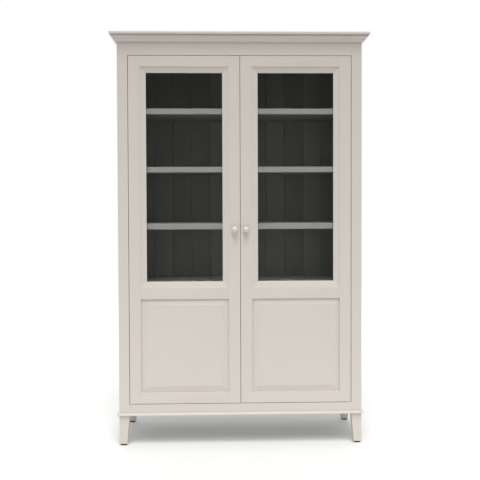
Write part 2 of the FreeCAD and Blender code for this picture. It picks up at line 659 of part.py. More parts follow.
def frame_plates():
    """The plates let into the sill and into the top face rail, each with a hole for the pin."""
    plates = []
    for edge, direction in pivot_ends():
        z0, z1 = upright_slab(edge, direction, DOOR_GAP, DOOR_GAP + PIVOT_PLATE_THICK)
        hole = rod(PIVOT_PIN_RADIUS + PIVOT_CLEARANCE, Vector(-PIVOT_X, PIVOT_Y, z0),
                   Vector(0, 0, 1), PIVOT_PLATE_THICK)
        plates.append(plate_mortise(z0, z1).cut(hole))
    return plates


def pivot_rooms():
    """What the pivots take out of the two face rails at the left."""
    cuts = []
    for edge, direction in pivot_ends():
        z0, z1 = upright_slab(edge, direction, DOOR_GAP, DOOR_GAP + PIVOT_PLATE_THICK)
        cuts.append(plate_mortise(z0, z1))
        depth = PIVOT_PLATE_THICK + PIVOT_PIN_BEYOND + PIVOT_PIN_ROOM
        mouth = Vector(-PIVOT_X, PIVOT_Y, edge + direction * DOOR_GAP)
        cuts.append(rod(PIVOT_PIN_RADIUS + PIVOT_PIN_ROOM, mouth, Vector(0, 0, direction), depth))
    return cuts


def catch_levels():
    """Undersides from which the catches hang: of the fixed shelf and of the top board."""
    return [FIXED_SHELF_TOP - SHELF_THICK, OPENING_TOP]


def magnetic_catch(level):
    """The left catch: a case under a board, whose front end stops the door."""
    front = DOOR_BACK + STRIKE_THICK + CATCH_GAP
    half = CATCH_LENGTH / 2
    return box(-CATCH_FROM_CENTRE - half, -CATCH_FROM_CENTRE + half, front,
               FACE + SHELF_SETBACK + CATCH_DEPTH, level - CATCH_HEIGHT, level)


def strike_plate(level):
    """The steel plate on the back of the left door that the magnet holds."""
    top = min(level, DOOR_TOP) - STRIKE_EDGE
    bottom = level - CATCH_HEIGHT + STRIKE_EDGE
    half = STRIKE_LENGTH / 2
    return box(-CATCH_FROM_CENTRE - half, -CATCH_FROM_CENTRE + half, DOOR_BACK,
               DOOR_BACK + STRIKE_THICK, bottom, top)


# ---------------------------------------------------------------- the whole bookcase
def carcass_parts():
    parts = {}
    for label, side in SIDES.items():
        parts["corner_post_front_" + label] = [turned(corner_post(True), side)]
        parts["corner_post_rear_" + label] = [turned(corner_post(False), side)]
        parts["side_panel_" + label] = [turned(side_panel(), side)]
    rooms = [turned(room, side) for room in pivot_rooms() for side in SIDES.values()]
    parts["face_rail_bottom"] = [face_rail(LEG_HEIGHT, SILL_TOP).cut(rooms)]
    parts["face_rail_top"] = [face_rail(OPENING_TOP, BODY_TOP).cut(rooms)]
    for name in fixed_boards():
        parts[name] = [fixed_board(name)]
    for name, shelf_top in LOOSE_SHELVES.items():
        parts[name] = [loose_shelf(shelf_top)]
    for number in range(1, BOARD_COUNT + 1):
        parts["back_board_%02d" % number] = [back_board(number)]
    parts["top_cap"] = [top_cap()]
    for place in ("front", "left", "right"):
        parts["crown_" + place] = [crown(place)]
        parts["base_moulding_" + place] = [base_moulding(place)]
    return parts


def fitting_parts():
    """Small pieces of the carcass, like ones together."""
    groups = {
        "foot_glides": [glide(True), glide(False)],
        "shelf_pins": [shelf_pin(y, top) for top in LOOSE_SHELVES.values() for y in pin_depths()],
        "frame_pivot_plates": frame_plates(),
        "magnetic_catches": [magnetic_catch(level) for level in catch_levels()],
    }
    return {name: [turned(solid, side) for solid in solids for side in SIDES.values()]
            for name, solids in groups.items()}


def door_parts():
    """One door, made for the left side."""
    return {
        "hinge_stile": [stile("hinge_stile")],
        "meeting_stile": [stile("meeting_stile")],
        "top_rail": [door_rail("top_rail")],
        "middle_rail": [door_rail("middle_rail")],
        "bottom_rail": [door_rail("bottom_rail")],
        "glazing_frame": glazing_frame(),
        "glass": [glass_pane()],
        "glazing_beads": glazing_beads(),
        "raised_panel": [raised_panel()],
        "knob": [knob()],
        "pivots": door_pivots(),
        "strike_plates": [strike_plate(level) for level in catch_levels()],
    }


def main():
    os.makedirs("parts", exist_ok=True)
    for name, solids in list(carcass_parts().items()) + list(fitting_parts().items()):
        write(name, solids)
    for name, solids in door_parts().items():
        for label, side in SIDES.items():
            write("door_" + label + "_" + name, [turned(solid, side) for solid in solids])


main()
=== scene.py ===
import math
from functools import cache

import bmesh
import bpy
from bpy.props import FloatProperty, FloatVectorProperty, IntProperty, PointerProperty
from bpy.types import Operator, Panel, PropertyGroup
from mathutils import Matrix, Vector
from mathutils.bvhtree import BVHTree


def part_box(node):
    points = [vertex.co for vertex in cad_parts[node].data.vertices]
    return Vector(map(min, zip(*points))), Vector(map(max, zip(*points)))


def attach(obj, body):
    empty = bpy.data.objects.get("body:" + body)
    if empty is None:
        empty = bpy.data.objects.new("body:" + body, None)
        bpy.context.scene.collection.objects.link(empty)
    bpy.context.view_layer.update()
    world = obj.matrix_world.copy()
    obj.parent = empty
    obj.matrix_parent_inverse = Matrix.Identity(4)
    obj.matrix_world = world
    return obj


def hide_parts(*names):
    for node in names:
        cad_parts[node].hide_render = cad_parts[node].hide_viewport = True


bl_info = {
    "name": "Glazed Bookcase",
    "version": (1, 0, 0),
    "blender": (4, 5, 0),
    "location": "View3D > Sidebar > Bookcase",
    "description": "Paints, glazes and lights a tall bookcase with two glazed and panelled doors",
    "category": "Object",
}

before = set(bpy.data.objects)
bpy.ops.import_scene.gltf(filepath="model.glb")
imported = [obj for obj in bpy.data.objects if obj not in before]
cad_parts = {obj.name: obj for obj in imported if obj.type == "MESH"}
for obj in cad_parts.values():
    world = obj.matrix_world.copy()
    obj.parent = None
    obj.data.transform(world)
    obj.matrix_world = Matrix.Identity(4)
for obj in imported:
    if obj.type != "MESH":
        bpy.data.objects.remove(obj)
MM = 0.001

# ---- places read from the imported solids
POST_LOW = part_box("corner_post_front_left")[0]
CAP_LOW, CAP_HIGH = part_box("top_cap")
PANEL_LOW, PANEL_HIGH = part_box("side_panel_left")
BOARD_LOW, BOARD_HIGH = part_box("back_board_01")

HALF = -POST_LOW.x
FACE = POST_LOW.y
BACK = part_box("corner_post_rear_left")[1].y
LEG_TOP = PANEL_LOW.z
SIDE_INSIDE = -PANEL_HIGH.x
BOARDS_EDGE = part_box("back_board_11")[1].x

# ---- fixed measures
SLACK = 0.5 * MM  # when a face is told from its neighbours by its place
ARRIS_ANGLE = math.radians(28)  # an edge this sharp or sharper is eased
CREASE_ANGLE = math.radians(9)  # an edge this sharp or sharper shows as a crease
KNOB_CREASE = math.radians(35)  # the same on a turned knob
FLAT_ANGLE = math.radians(0.2)  # faces that turn less than this are one plane
SHORTEST_ARRIS = 2.5 * MM
TOUCH = 0.2 * MM  # solids this near each other touch
WELD = 0.005 * MM  # corners this near each other are one
SPOTS = (0.2, 0.5, 0.8)  # places along an edge that are tested for a neighbour
MOST, SOME = 0.7, 0.3  # parts of a normal that show which way a face mostly or partly looks
ARRIS_FACES = 3  # faces across an eased arris
BOARD_TONES = (0.86, 1.12)  # from the darkest board to the lightest
CAP_ARRIS = 0.4 * MM  # widths of the eased arrises
DOOR_ARRIS = 0.6 * MM
SHELF_ARRIS = 1.2 * MM
METAL_ARRIS = 0.2 * MM
PIN_ARRIS = 0.3 * MM
PLASTIC_ARRIS = 0.8 * MM
WHITE = (1.0, 1.0, 1.0, 1.0)

SIDES = ("left", "right")
BOARDS = ["back_board_%02d" % number for number in range(1, 12)]
DOOR_WOOD = ("hinge_stile", "meeting_stile", "top_rail", "middle_rail", "bottom_rail",
             "glazing_frame", "glazing_beads", "raised_panel")


# ---- settings
def value(name, description, default, **more):
    return FloatProperty(name=name, description=description, default=default, **more)


def length(name, description, default, least=0.0):
    """A length, with its default and its least in millimetres."""
    return value(name, description, default * MM, unit="LENGTH", precision=5, min=least * MM)


def share(name, description, default):
    return value(name, description, default, subtype="FACTOR", min=0.0, max=1.0)


def angle(name, description, degrees):
    return value(name, description, math.radians(degrees), subtype="ANGLE")


def whole(name, description, default, least):
    return IntProperty(name=name, description=description, default=default, min=least)


def colour(name, description, default):
    return FloatVectorProperty(name=name, description=description, default=default,
                               size=3, subtype="COLOR", min=0.0, max=1.0)


class PaintSettings(PropertyGroup):
    body: colour("Body", "Paint of the carcass and doors", (0.636, 0.588, 0.536))
    inside: colour("Inside", "Paint of the back and of the inner faces", (0.235, 0.238, 0.215))
    shelf: colour("Shelves", "Paint of the loose shelves", (0.415, 0.405, 0.385))
    # painted light: the fixed shelf is painted lighter than the loose shelves, near the body's tone,
    # partly standing for light falling on it through the glass
    fixed: colour("Fixed shelf", "Paint of the fixed shelf", (0.66, 0.65, 0.62))
    knob: colour("Knobs", "Gloss paint of the knobs", (0.660, 0.622, 0.575))
    rubbed: colour("Rubbed arris", "Where the paint is thin along the arrises", (0.720, 0.680, 0.620))
    tone: share("Tone", "How much the paint's tone drifts over a piece", 0.035)
    stroke_width: length("Stroke width", "Width of a brush mark", 1.6, 0.2)
    stroke_length: length("Stroke length", "Length of a brush mark", 120, 2)
    stroke_depth: length("Stroke depth", "Depth of a brush mark", 0.06)
    ease: length("Arris", "Width of the eased arrises", 0.8, 0.1)
    # painted shade: the next two settings set how far from an inner corner, and how much, the paint is
    # darkened
    corner: length("Corner", "How far from an inner corner the paint is darker", 14, 1)
    corner_shade: share("Corner shade", "How much darker the paint is where dust settles in a corner", 0.4)


class BoardSettings(PropertyGroup):
    count: whole("Boards", "Boards across the back", 11, 2)
    pitch: length("Pitch", "From one joint to the next", 110, 10)
    chamfer: length("Chamfer", "Chamfers that meet as a V on the show side", 3)
    rear_chamfer: length("Rear chamfer", "Chamfers on the outside of the back", 1)
    seam: length("Seam", "Open joint between two boards", 0.8)
    tongue: length("Tongue", "Thickness of the tongues", 4, 1)
    seed: whole("Seed", "Picks each board's tone", 7, 0)


class MouldingSettings(PropertyGroup):
    toe: length("Toe", "Small square at the crown's lower edge", 3)
    rebate: length("Rebate", "Height of the small step between the crown and the cap", 8)
    set_back: length("Set back", "Depth of that step", 1.5)
    swell: length("Swell", "How far the ogee leaves its chord", 2)
    edge: length("Edge", "Height of the base's square lower edge", 4.5)
    quirk: length("Quirk", "Step back from that edge to the base's hollow", 0.5)
    hollow: length("Hollow", "Depth of the base's hollow, from its chord", 3.2)
    top: length("Top", "Thickness left at the top of the base's hollow", 1.5)
    steps: whole("Steps", "Steps along each curve", 14, 2)
    cap_round: length("Cap round", "Radius of the cap's upper edge", 7, 1)
    cap_under: length("Cap under", "Radius of the cap's lower edge", 1.5, 0.5)
    cap_steps: whole("Cap steps", "Faces round each of the cap's edges", 8, 1)


class KnobSettings(PropertyGroup):
    neck: length("Neck", "Radius of the neck", 8, 1)
    foot: length("Foot", "Radius of the foot", 12, 1)
    foot_thick: length("Foot height", "Height of the foot", 3, 0.5)
    neck_end: length("Neck end", "Where the neck runs into the head", 8.5)
    swell: length("Swell", "How far the head's underside bulges", 1.2)
    dome: length("Dome", "From the widest ring to the tip", 13.5)
    tenon: length("Tenon", "Radius of the tenon", 6)
    around: whole("Around", "Faces around the knob", 64, 8)


class GlassSettings(PropertyGroup):
    tint: colour("Tint", "Colour of light through the pane", (0.88, 0.89, 0.88))
    index: value("Index", "Refractive index", 1.45, min=1.0, max=2.0)
    ripple: length("Ripple", "Unevenness of the pane", 0.02)


class StageSettings(PropertyGroup):
    eye: FloatVectorProperty(name="Eye", description="Place of the camera",
                             default=(-0.1166, -4.1450, 1.3286), subtype="TRANSLATION", unit="LENGTH")
    yaw: angle("Yaw", "Turn to the right", 1.671)
    pitch: angle("Pitch", "Tilt downwards", 1.482)
    roll: angle("Roll", "Turn about the line of sight", 0.187)
    lens: value("Lens", "Focal length in millimetres", 55.44, min=1.0)
    rise: value("Rise", "Vertical lens shift", -0.05)
    above: value("Above", "Level of the dome overhead", 0.35)
    behind: value("Behind", "Level of the dome behind the bookcase", 1.24)
    before: value("Before", "Level of the dome in front", 0.98)
    gloom: value("Gloom", "Level that the panes mirror from the front", 0.10)
    high: value("High light", "Strength of the high soft light", 1.38)
    high_angle: angle("High angle", "Elevation of the high light", 70)
    front: value("Front light", "Strength of the soft light from the front", 0.54)
    front_angle: angle("Front angle", "Elevation of the front light", 55)
    softness: angle("Softness", "Angle that each light fills", 20)
    reach: length("Reach", "Radius of the paper on the floor", 5400, 1000)
    floor: colour("Floor", "Paper on the floor", (0.80, 0.80, 0.79))
    lift: value("Lift", "White added to the paper where it is looked at", 0.08)


class BookcaseSettings(PropertyGroup):
    paint: PointerProperty(type=PaintSettings)
    boards: PointerProperty(type=BoardSettings)
    mouldings: PointerProperty(type=MouldingSettings)
    knobs: PointerProperty(type=KnobSettings)
    glass: PointerProperty(type=GlassSettings)
    stage: PointerProperty(type=StageSettings)


def settings():
    return bpy.context.scene.bookcase


# ---- node helpers
def wire(tree, node, inputs):
    """Link or set a node's inputs, by name or number."""
    for key, given in inputs.items():
        if isinstance(given, bpy.types.NodeSocket):
            tree.links.new(given, node.inputs[key])
        else:
            node.inputs[key].default_value = given


def place(tree, kind, inputs=None, **options):
    """A new node, with its options set and its inputs linked or set."""
    node = tree.nodes.new(kind)
    for key, option in options.items():
        setattr(node, key, option)
    wire(tree, node, inputs or {})
    return node


def first(tree, kind, inputs=None, **options):
    """The first output of a new node."""
    return place(tree, kind, inputs, **options).outputs[0]


def maths(tree, operation, *values):
    return first(tree, "ShaderNodeMath", dict(enumerate(values)), operation=operation)


def product(tree, one, other):
    return maths(tree, "MULTIPLY", one, other)


def stretched(tree, vector, by):
    """A vector with each part multiplied by its own factor."""
    return first(tree, "ShaderNodeVectorMath", {0: vector, 1: by}, operation="MULTIPLY")


def shade(tree, tint, level):
    """A colour made darker or lighter by one factor."""
    return first(tree, "ShaderNodeVectorMath", {0: tint, "Scale": level}, operation="SCALE")


def mixed(tree, factor, low, high):
    """A colour between two."""
    return place(tree, "ShaderNodeMix", {0: factor, 6: low, 7: high}, data_type="RGBA").outputs[2]


def between(tree, factor, low, high):
    """A value between two."""
    return first(tree, "ShaderNodeMix", {0: factor, 2: low, 3: high})


def scaled(tree, given, low, high):
    """A value from 0..1 taken to low..high."""
    return first(tree, "ShaderNodeMapRange", {"Value": given, "To Min": low, "To Max": high})


def weighed(tree, one, other, part):
    """A sum of two values, one by its part and the other by the rest."""
    return maths(tree, "ADD", product(tree, one, part), product(tree, other, 1 - part))


def noise(tree, vector, scale, detail=3.0, rough=0.5):
    inputs = {"Vector": vector, "Scale": scale, "Detail": detail, "Roughness": rough}
    return place(tree, "ShaderNodeTexNoise", inputs).outputs["Fac"]


def attribute(tree, name):
    return place(tree, "ShaderNodeAttribute", attribute_name=name).outputs["Fac"]


def combined(tree, **parts):
    """A vector from its X, Y and Z."""
    return first(tree, "ShaderNodeCombineXYZ", parts)


def parts_of(tree, vector):
    return place(tree, "ShaderNodeSeparateXYZ", {0: vector}).outputs


def opened(kind, name, inputs, outputs):
    """A new node group with its sockets, its inputs' values and its output node."""
    tree = bpy.data.node_groups.new(name, kind)
    for title, socket, *default in inputs:
        made = tree.interface.new_socket(title, in_out="INPUT", socket_type="NodeSocket" + socket)
        if default:
            made.default_value = default[0]
    for title, socket in outputs:
        tree.interface.new_socket(title, in_out="OUTPUT", socket_type="NodeSocket" + socket)
    return tree, tree.nodes.new("NodeGroupInput").outputs, tree.nodes.new("NodeGroupOutput")


# ---- shared shader effects
def brushed_group():
    """Brush marks along the grain: a drifting tone, uneven gloss and fine ridges."""
    tree, given, out = opened(
        "ShaderNodeTree", "Brushed paint",
        [("Vector", "Vector"), ("Marks", "Vector"), ("Colour", "Color"),
         ("Tone", "Float", 0.03), ("Gloss low", "Float", 0.35), ("Gloss high", "Float", 0.5)],
        [("Colour", "Color"), ("Roughness", "Float"), ("Height", "Float")])
    along = stretched(tree, given["Vector"], given["Marks"])
    marks = noise(tree, along, scale=1.0, detail=4.0, rough=0.62)
    broad = noise(tree, given["Vector"], scale=2.3, detail=2.0)
    drift = weighed(tree, broad, marks, part=0.7)
    swing = product(tree, maths(tree, "SUBTRACT", drift, 0.5), given["Tone"])
    level = maths(tree, "ADD", 1.0, product(tree, swing, 2.0))
    sheen = weighed(tree, broad, marks, part=0.4)
    wire(tree, out, {"Colour": shade(tree, given["Colour"], level), "Height": marks,
                     "Roughness": scaled(tree, sheen, given["Gloss low"], given["Gloss high"])})


def rubbed_group():
    """Where an eased arris shows thinner paint, in patches."""
    tree, given, out = opened(
        "ShaderNodeTree", "Rubbed arris",
        [("Vector", "Vector"), ("Arris", "Float"), ("Colour", "Color"), ("Rubbed", "Color"),
         ("Least", "Float", 0.15), ("Most", "Float", 0.6)],
        [("Colour", "Color")])
    patches = noise(tree, given["Vector"], scale=14.0, rough=0.6)
    strength = scaled(tree, patches, given["Least"], given["Most"])
    mask = product(tree, strength, given["Arris"])
    wire(tree, out, {"Colour": mixed(tree, mask, given["Colour"], given["Rubbed"])})


def corner_shade_group():
    """Painted shade: paint darkened by ambient occlusion in the inner corners, where shade falls."""
    tree, given, out = opened(
        "ShaderNodeTree", "Painted corner shade",
        [("Colour", "Color"), ("Reach", "Float", 0.01), ("Most", "Float", 0.4)],
        [("Colour", "Color")])
    near = place(tree, "ShaderNodeAmbientOcclusion", {"Distance": given["Reach"]}, samples=12)
    depth = maths(tree, "SUBTRACT", 1.0, near.outputs["AO"])
    level = maths(tree, "SUBTRACT", 1.0, product(tree, depth, given["Most"]))
    wire(tree, out, {"Colour": shade(tree, given["Colour"], level)})


def group(tree, name, inputs):
    return place(tree, "ShaderNodeGroup", inputs, node_tree=bpy.data.node_groups[name]).outputs


# ---- materials
def blank_material(name):
    """A new material's tree, its place on the object, its Principled shader and its output."""
    fresh = bpy.data.materials.new(name)
    fresh.use_nodes = True
    tree = fresh.node_tree
    tree.nodes.clear()
    shader = place(tree, "ShaderNodeBsdfPrincipled")
    output = place(tree, "ShaderNodeOutputMaterial", {"Surface": shader.outputs[0]})
    return tree, place(tree, "ShaderNodeTexCoord").outputs["Object"], shader, output


def material(name):
    return bpy.data.materials[name]


def rgba(values):
    return (*values, 1.0)


def times(base, factor):
    return tuple(factor * part for part in base)


def speckled(tree, mask, base, darkest):
    """A base colour that a mask takes down to a darker shade of it."""
    return mixed(tree, mask, rgba(times(base, darkest)), rgba(base))


def bumped(tree, height, distance):
    return first(tree, "ShaderNodeBump", {"Height": height, "Distance": distance})


def grained(tree, shader, grain, base, darkest, gloss, depth):
    """A base colour, a gloss and a bump that all follow one grain."""
    wire(tree, shader, {
        "Base Color": speckled(tree, grain, base, darkest), "Roughness": scaled(tree, grain, *gloss),
        "Normal": bumped(tree, grain, depth)})


def brushed_paint(title, base, axis, gloss, rubbed, by_board=False, corner_shade=0.0):
    """Paint brushed along one axis, rubbed at the arrises and perhaps darkened in the inner corners as
    painted shade.
    """
    paint = settings().paint
    tree, where, shader, _ = blank_material(title + "_" + axis)
    marks = [1 / paint.stroke_width] * 3
    marks["xyz".index(axis)] = 1 / paint.stroke_length
    tint = rgba(base)
    if by_board:
        tint = shade(tree, tint[:3], scaled(tree, attribute(tree, "board_tone"), *BOARD_TONES))
    brushed = group(tree, "Brushed paint", {
        "Vector": where, "Marks": marks, "Colour": tint, "Tone": paint.tone,
        "Gloss low": gloss[0], "Gloss high": gloss[1]})
    shown = group(tree, "Rubbed arris", {
        "Vector": where, "Arris": attribute(tree, "arris"), "Colour": brushed["Colour"],
        "Rubbed": rgba(rubbed)})["Colour"]
    # painted shade in the inner corners, taken from ambient occlusion
    if corner_shade:
        shown = group(tree, "Painted corner shade", {
            "Colour": shown, "Reach": paint.corner, "Most": corner_shade})["Colour"]
    wire(tree, shader, {"Base Color": shown, "Roughness": brushed["Roughness"],
                        "Normal": bumped(tree, brushed["Height"], paint.stroke_depth)})


def knob_paint():
    """Several coats of gloss over a turned knob, with faint rings."""
    tree, where, shader, _ = blank_material("knob_gloss")
    soft = noise(tree, where, scale=160.0, detail=2.0)
    rings = noise(tree, where, scale=700.0, detail=2.0)
    wire(tree, shader, {
        "Base Color": speckled(tree, soft, settings().paint.knob, darkest=0.94),
        "Roughness": scaled(tree, noise(tree, where, scale=420.0), 0.16, 0.26),
        "Normal": bumped(tree, rings, 0.03 * MM), "Coat Weight": 1.0, "Coat Roughness": 0.22})


def clear_glass():
    """Drawn glass: clear, slightly uneven, and open to the lamps' light."""
    glass = settings().glass
    tree, where, shader, output = blank_material("drawn_glass")
    waves = noise(tree, where, scale=9.0, detail=1.0)
    wire(tree, shader, {
        "Base Color": rgba(glass.tint), "Transmission Weight": 1.0, "IOR": glass.index,
        "Roughness": 0.0, "Normal": bumped(tree, waves, glass.ripple)})
    open_way = first(tree, "ShaderNodeBsdfTransparent", {"Color": rgba(glass.tint)})
    shadow = place(tree, "ShaderNodeLightPath").outputs["Is Shadow Ray"]
    wire(tree, output, {"Surface": first(tree, "ShaderNodeMixShader", {
        0: shadow, 1: shader.outputs[0], 2: open_way})})


def metal(name, base, rough, along):
    """A plated or drawn metal with fine lines."""
    tree, where, shader, _ = blank_material(name)
    lines = noise(tree, stretched(tree, where, along), scale=1.0, rough=0.6)
    shader.inputs["Metallic"].default_value = 1.0
    grained(tree, shader, lines, base, 0.82, (rough * 0.8, rough * 1.3), 0.02 * MM)


def moulded(name, base, rough):
    """Moulded plastic with a fine spark texture."""
    tree, where, shader, _ = blank_material(name)
    sparks = noise(tree, where, scale=1800.0, detail=2.0)
    grained(tree, shader, sparks, base, 0.88, (rough * 0.85, rough * 1.15), 0.03 * MM)


# ---- meshes
def new_object(name, mesh):
    made = bpy.data.objects.new(name, mesh)
    bpy.context.scene.collection.objects.link(made)
    return made


def plain_mesh(bm, name):
    """A mesh from a bmesh, which is used up."""
    mesh = bpy.data.meshes.new(name)
    bm.to_mesh(mesh)
    bm.free()
    return mesh


def finished_mesh(thing, name):
    """The mesh that an object's modifiers give, as a plain mesh."""
    graph = bpy.context.evaluated_depsgraph_get()
    mesh = bpy.data.meshes.new_from_object(thing.evaluated_get(graph), preserve_all_data_layers=True,
                                           depsgraph=graph)
    mesh.name = name
    return mesh


class Solid:
    """One closed solid: its corners, its faces and the room that it takes."""

    def __init__(self, corners, faces):
        self.corners = corners
        self.faces = faces
        self.low = Vector([min(corner[axis] for corner in corners) for axis in range(3)])
        self.high = Vector([max(corner[axis] for corner in corners) for axis in range(3)])
        self.tree = BVHTree.FromPolygons(corners, faces)

    def near(self, low, high):
        """Whether the solid's box comes within touch of another."""
        return all(self.low[axis] - TOUCH < high[axis] and low[axis] - TOUCH < self.high[axis]
                   for axis in range(3))

    def reaches(self, point):
        """Whether the solid lies against a point."""
        return self.near(point, point) and self.tree.find_nearest(point, TOUCH)[0] is not None

    def grain(self):
        """The axis that the solid is longest along."""
        spans = list(self.high - self.low)
        return "xyz"[spans.index(max(spans))]


def round_of(corners):
    """Each corner with the one that follows it round a face."""
    return zip(corners, corners[1:] + corners[:1])


def solids_of(mesh):
    """The closed solids in a mesh whose faces come solid by solid."""
    bm = bmesh.new()
    bm.from_mesh(mesh)
    merged = bmesh.ops.find_doubles(bm, verts=bm.verts, dist=WELD)["targetmap"]
    found, faces, waiting = [], [], set()
    for face in bm.faces:
        corners = [merged.get(vertex, vertex).index for vertex in face.verts]
        corners = [corner for corner, following in round_of(corners) if corner != following]
        if len(corners) < 3:
            continue
        faces.append(corners)
        for one, other in round_of(corners):
            if (other, one) in waiting:
                waiting.remove((other, one))
            else:
                waiting.add((one, other))
        if not waiting:
            used = sorted({corner for corners in faces for corner in corners})
            order = {corner: number for number, corner in enumerate(used)}
            bm.verts.ensure_lookup_table()
            found.append(Solid([bm.verts[corner].co.copy() for corner in used],
                               [[order[corner] for corner in corners] for corners in faces]))
            faces = []
    bm.free()
    if faces:
        raise RuntimeError(mesh.name + " isn't made of closed solids")
    return found


@cache
def packed(node):
    """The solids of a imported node, worked out once."""
    return solids_of(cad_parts[node].data)


def is_open(edge, others):
    """Whether an edge is a sharp outer one that doesn't lie against another solid."""
    if edge.calc_face_angle(0.0) < ARRIS_ANGLE or not edge.is_convex:
        return False
    if edge.calc_length() < SHORTEST_ARRIS:
        return False
    start, end = (vertex.co for vertex in edge.verts)
    free = [all(not other.reaches(start.lerp(end, spot)) for other in others) for spot in SPOTS]
    return sum(free) > len(SPOTS) / 2


def painted(solid, others, names, finish, inside):
    """A solid's mesh: flat faces whole, paints by their place in names, and open arrises weighted."""
    bm = bmesh.new()
    corners = [bm.verts.new(corner) for corner in solid.corners]
    for face in solid.faces:
        bm.faces.new([corners[corner] for corner in face])
    bmesh.ops.dissolve_limit(bm, angle_limit=FLAT_ANGLE, verts=bm.verts, edges=bm.edges)
    bm.normal_update()
    for face in bm.faces:
        inner = inside and inside(face.calc_center_median(), face.normal)
        title = "inside_paint" if inner else finish
        if title.endswith("paint"):
            title += "_" + solid.grain()
        if title not in names:
            names.append(title)
        face.material_index = names.index(title)
    weight = bm.edges.layers.float.new("bevel_weight_edge")
    near = [other for other in others if other is not solid and solid.near(other.low, other.high)]
    for edge in [edge for edge in bm.edges if is_open(edge, near)]:
        edge[weight] = 1.0
    return plain_mesh(bm, "painted_solid")


def dress(node, finish, width=None, inside=None, source=None):
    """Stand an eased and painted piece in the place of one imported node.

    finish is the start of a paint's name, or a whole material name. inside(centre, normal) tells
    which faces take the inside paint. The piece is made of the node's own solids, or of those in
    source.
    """
    name = "dressed_" + node
    source = source or packed(node)
    others = source + [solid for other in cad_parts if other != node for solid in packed(other)]
    names = []
    whole = bmesh.new()
    for solid in source:
        part = painted(solid, others, names, finish, inside)
        whole.from_mesh(part)
        bpy.data.meshes.remove(part)
    thing = new_object(name, plain_mesh(whole, name))
    for title in names:
        thing.data.materials.append(material(title))
    thing.data.materials.append(None)
    bevel = thing.modifiers.new("Eased arris", "BEVEL")
    bevel.limit_method = "WEIGHT"
    bevel.width = settings().paint.ease if width is None else width
    bevel.segments = ARRIS_FACES
    bevel.material = len(names)
    thing.data = finished_mesh(thing, name)
    thing.modifiers.clear()
    mark_arrises(thing.data, len(names))
    crease(thing.data)
    fit(thing, [node])


def crease(mesh, sharp=CREASE_ANGLE):
    """Smooth shading, but for the edges that are sharper than the angle."""
    bm = bmesh.new()
    bm.from_mesh(mesh)
    for face in bm.faces:
        face.smooth = True
    for edge in bm.edges:
        edge.smooth = edge.calc_face_angle(0.0) < sharp
    bm.to_mesh(mesh)
    bm.free()


def mark_arrises(mesh, marker):
    """Write the attribute 'arris' on the eased faces and give them their neighbours' paint."""
    arris = mesh.attributes.new("arris", "FLOAT", "FACE")
    waiting = {face.index for face in mesh.polygons if face.material_index == marker}
    arris.data.foreach_set("value", [float(index in waiting) for index in range(len(mesh.polygons))])
    around = {}
    for face in mesh.polygons:
        for key in face.edge_keys:
            around.setdefault(key, []).append(face.index)
    while waiting:
        ready = []
        for index in sorted(waiting):
            beside = [other for key in mesh.polygons[index].edge_keys for other in around[key]
                      if other not in waiting]
            if beside:
                ready.append((index, mesh.polygons[beside[0]].material_index))
        if not ready:
            raise RuntimeError(mesh.name + " has no face left to take paint from")
        for index, paint in ready:
            mesh.polygons[index].material_index = paint
            waiting.discard(index)
    mesh.materials.pop(index=marker)


def fit(thing, nodes):
    """Ride a finished piece on the body of the nodes that it stands for."""
    words = nodes[0].split("_")
    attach(thing, "_".join(words[:2]) if words[0] == "door" else "carcass")
    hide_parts(*nodes)


# ---- geometry node trees
def grown(name, tree, values, start=None):
    """The plain mesh that a tree makes from a starting mesh and its inputs, given by name."""
    thing = new_object("start", start or bpy.data.meshes.new("start"))
    modifier = thing.modifiers.new(tree.name, "NODES")
    modifier.node_group = tree
    for item in tree.interface.items_tree:
        if item.name in values:
            modifier[item.identifier] = values[item.name]
    mesh = finished_mesh(thing, name)
    bpy.data.objects.remove(thing)
    return mesh


def joined(tree, *parts):
    both = place(tree, "GeometryNodeJoinGeometry")
    for part in parts:
        tree.links.new(part, both.inputs[0])
    return both.outputs[0]


def coated(tree, geometry, paint, **chosen):
    """Geometry in one paint, or its chosen faces."""
    return first(tree, "GeometryNodeSetMaterial", {"Geometry": geometry, "Material": paint, **chosen})


def here(tree):
    """The X, Y and Z of each point's place."""
    return parts_of(tree, first(tree, "GeometryNodeInputPosition"))


def row_nodes(tree, number, pitch):
    """Points in a row along X, centred on the middle."""
    start = product(tree, product(tree, maths(tree, "SUBTRACT", number, 1), pitch), -0.5)
    return first(tree, "GeometryNodeMeshLine", {
        "Count": number, "Start Location": combined(tree, X=start), "Offset": combined(tree, X=pitch)})


def prism_nodes(tree, face, along, distance):
    """A closed prism: a face pushed along a direction, and the same face turned over at its start."""
    pushed = first(tree, "GeometryNodeExtrudeMesh",
                   {"Mesh": face, "Offset": along, "Offset Scale": distance, "Individual": False})
    floor = first(tree, "GeometryNodeFlipFaces", {"Mesh": face})
    return first(tree, "GeometryNodeMergeByDistance",
                 {"Geometry": joined(tree, pushed, floor), "Distance": WELD})


